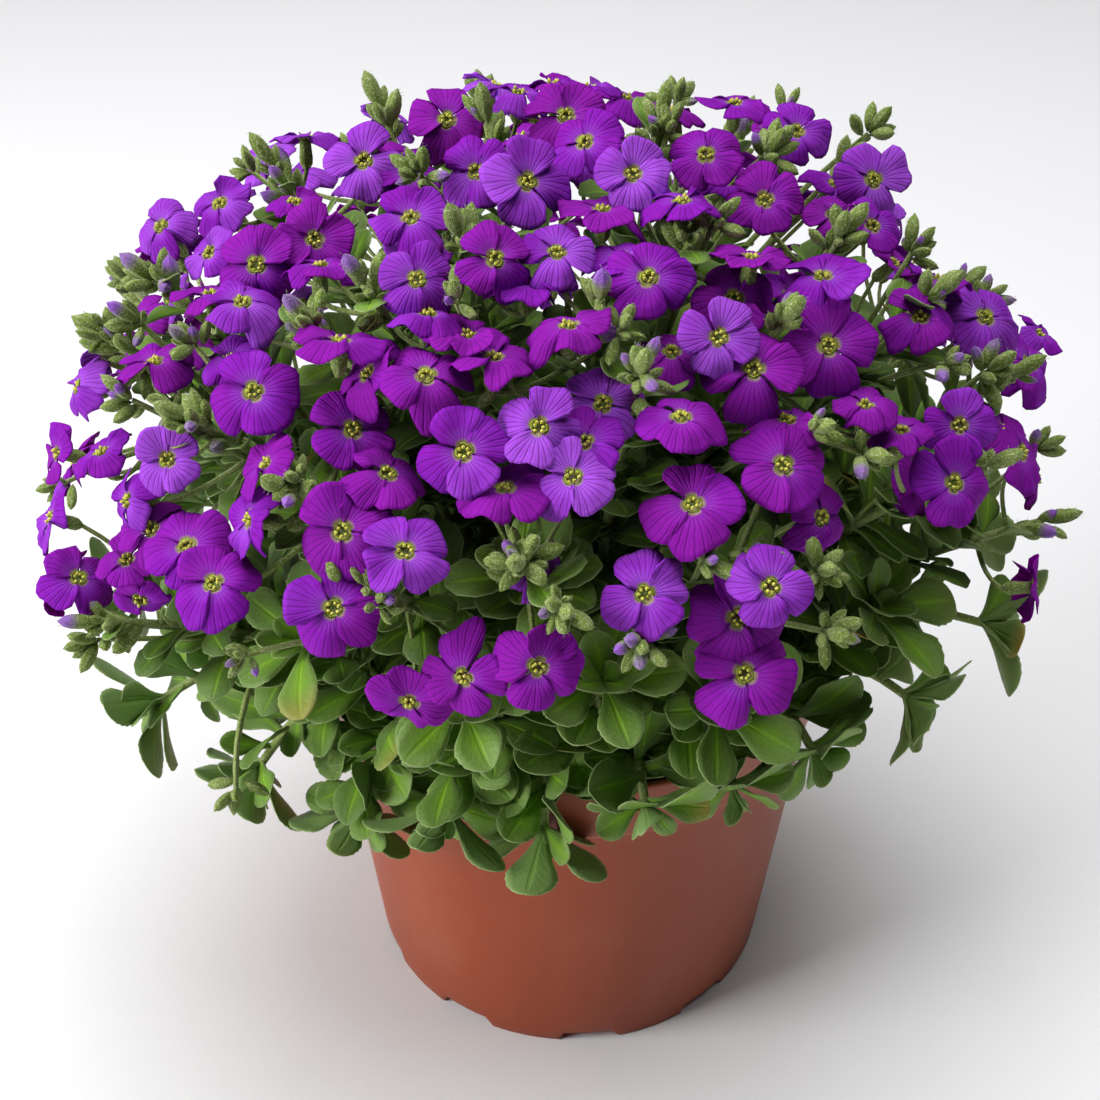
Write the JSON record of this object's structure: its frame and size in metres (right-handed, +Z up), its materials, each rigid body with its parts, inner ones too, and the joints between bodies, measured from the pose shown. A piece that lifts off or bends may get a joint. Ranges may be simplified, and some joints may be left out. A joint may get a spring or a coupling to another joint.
{
  "type": "potted aubrieta",
  "caption": "Mounded aubrieta with violet four-petalled flowers, buds and toothed grey-green leaves, growing in a tapered plastic nursery pot.",
  "frame": {"origin": "on the pot's axis, on the surface that the pot stands on", "axes": "+Z up, front is -Y, +X to the right as seen from the front"},
  "size_m": [0.2419, 0.2099, 0.2417],
  "materials": {
    "pot": "satin",
    "soil": "matt, crumbly",
    "bloom": "soft, slightly velvety",
    "leaf": "matt, downy"
  },
  "bodies": {
    "root": {"pot": "pot", "soil": "soil", "spray_01": "bloom", "spray_02": "bloom", "spray_03": "bloom", "spray_04": "bloom", "spray_05": "bloom", "spray_06": "bloom", "spray_07": "bloom", "spray_08": "bloom", "spray_09": "bloom", "spray_10": "bloom", "spray_11": "bloom", "spray_12": "bloom", "spray_13": "bloom", "spray_14": "bloom", "spray_15": "bloom", "spray_16": "bloom", "spray_17": "bloom", "spray_18": "bloom", "spray_19": "bloom", "spray_20": "bloom", "spray_21": "bloom", "spray_22": "bloom", "spray_23": "bloom", "spray_24": "bloom", "spray_25": "bloom", "spray_26": "bloom", "spray_27": "bloom", "spray_28": "bloom", "spray_29": "bloom", "spray_30": "bloom", "leafy_shoot_01": "leaf", "leafy_shoot_02": "leaf", "leafy_shoot_03": "leaf", "leafy_shoot_04": "leaf", "leafy_shoot_05": "leaf", "leafy_shoot_06": "leaf", "leafy_shoot_07": "leaf", "leafy_shoot_08": "leaf", "leafy_shoot_09": "leaf", "leafy_shoot_10": "leaf", "leafy_shoot_11": "leaf", "leafy_shoot_12": "leaf", "leafy_shoot_13": "leaf", "leafy_shoot_14": "leaf", "leafy_shoot_15": "leaf", "leafy_shoot_16": "leaf", "leafy_shoot_17": "leaf", "leafy_shoot_18": "leaf", "leafy_shoot_19": "leaf", "leafy_shoot_20": "leaf", "leafy_shoot_21": "leaf", "leafy_shoot_22": "leaf", "leafy_shoot_23": "leaf", "leafy_shoot_24": "leaf", "leafy_shoot_25": "leaf", "leafy_shoot_26": "leaf", "leafy_shoot_27": "leaf", "leafy_shoot_28": "leaf"}
  },
  "joints": []
}
